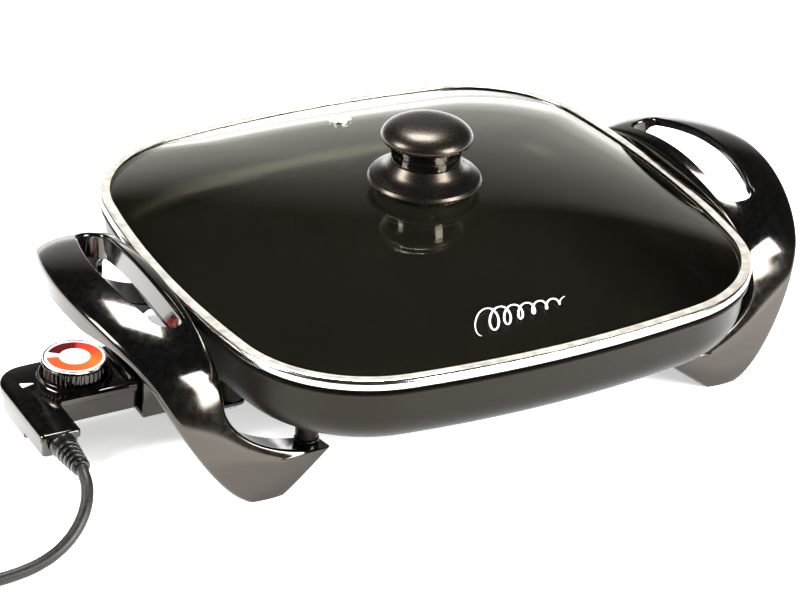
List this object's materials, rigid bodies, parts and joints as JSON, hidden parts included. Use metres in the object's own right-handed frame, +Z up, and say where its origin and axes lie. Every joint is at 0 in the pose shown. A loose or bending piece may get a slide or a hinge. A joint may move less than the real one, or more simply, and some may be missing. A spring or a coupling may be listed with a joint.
{
  "type": "electric skillet",
  "caption": "Square electric skillet on winged handles with integral legs, a domed glass lid and a plug-in thermostat probe with dial and mains lead.",
  "frame": {"origin": "on the floor, under the middle of the skillet with its probe, lead left out", "axes": "+X along the probe's axis towards the handle without a probe, +Y towards the back, +Z up"},
  "size_m": [0.6029, 0.301, 0.1416],
  "materials": {
    "coated_cast_aluminium": "satin dark non-stick and enamel coating on cast aluminium",
    "element_sheath": "dull heat-stained tube sheath",
    "plated_steel": "plated",
    "steatite_ceramic": "unglazed",
    "black_phenolic": "glossy moulded phenolic",
    "tempered_glass": "polished clear",
    "stainless_steel": "bright rolled",
    "silicone_rubber": "matte",
    "brass": "plain",
    "bimetal": "rolled strip",
    "signal_lens": "translucent white",
    "printed_dial": "printed disc",
    "cord_pvc": "satin PVC"
  },
  "bodies": {
    "skillet": {"skillet_pan": "coated_cast_aluminium", "heating_element": "element_sheath", "terminal_pin_front": "plated_steel", "terminal_pin_back": "plated_steel", "pin_insulator_front": "steatite_ceramic", "pin_insulator_back": "steatite_ceramic", "handle_left": "black_phenolic", "handle_right": "black_phenolic", "handle_left_screw_front": "plated_steel", "handle_left_screw_back": "plated_steel", "handle_right_screw_front": "plated_steel", "handle_right_screw_back": "plated_steel", "socket_shroud": "black_phenolic", "shroud_screw_front": "plated_steel", "shroud_screw_back": "plated_steel"},
    "lid": {"lid_glass": "tempered_glass", "lid_rim_band": "stainless_steel", "vent_grommet": "stainless_steel", "knob_skirt": "black_phenolic", "knob_grip": "black_phenolic", "knob_cap": "black_phenolic", "knob_washer": "silicone_rubber", "knob_screw": "plated_steel"},
    "control_probe": {"probe_housing_upper": "black_phenolic", "probe_housing_lower": "black_phenolic", "housing_screw_front": "plated_steel", "housing_screw_back": "plated_steel", "sensor_rod": "stainless_steel", "contact_sleeve_front": "brass", "contact_sleeve_back": "brass", "thermostat_frame": "plated_steel", "bimetal_strip": "bimetal", "contact_leaf": "brass", "signal_lens": "signal_lens", "signal_lamp": "tempered_glass", "strain_relief": "cord_pvc", "cord_run": "cord_pvc", "cord_coil": "cord_pvc", "cord_tail": "cord_pvc", "plug_body": "cord_pvc", "plug_blade_outer": "brass", "plug_blade_inner": "brass"},
    "dial": {"dial_knob": "black_phenolic", "dial_face": "printed_dial", "dial_trim_ring": "stainless_steel", "dial_shaft": "brass"}
  },
  "joints": [
    {"name": "lid_lift", "type": "slide", "parent": "skillet", "child": "lid", "axis": [0, 0, 1], "range_m": [0, 0.12]},
    {"name": "probe_pull", "type": "slide", "parent": "skillet", "child": "control_probe", "axis": [-1, 0, 0], "range_m": [0, 0.1]},
    {"name": "dial_turn", "type": "hinge", "parent": "control_probe", "child": "dial", "pos_m": [-0.18685, 0, 0.04], "axis": [0, 0, 1], "range_deg": [-300, 0]}
  ]
}
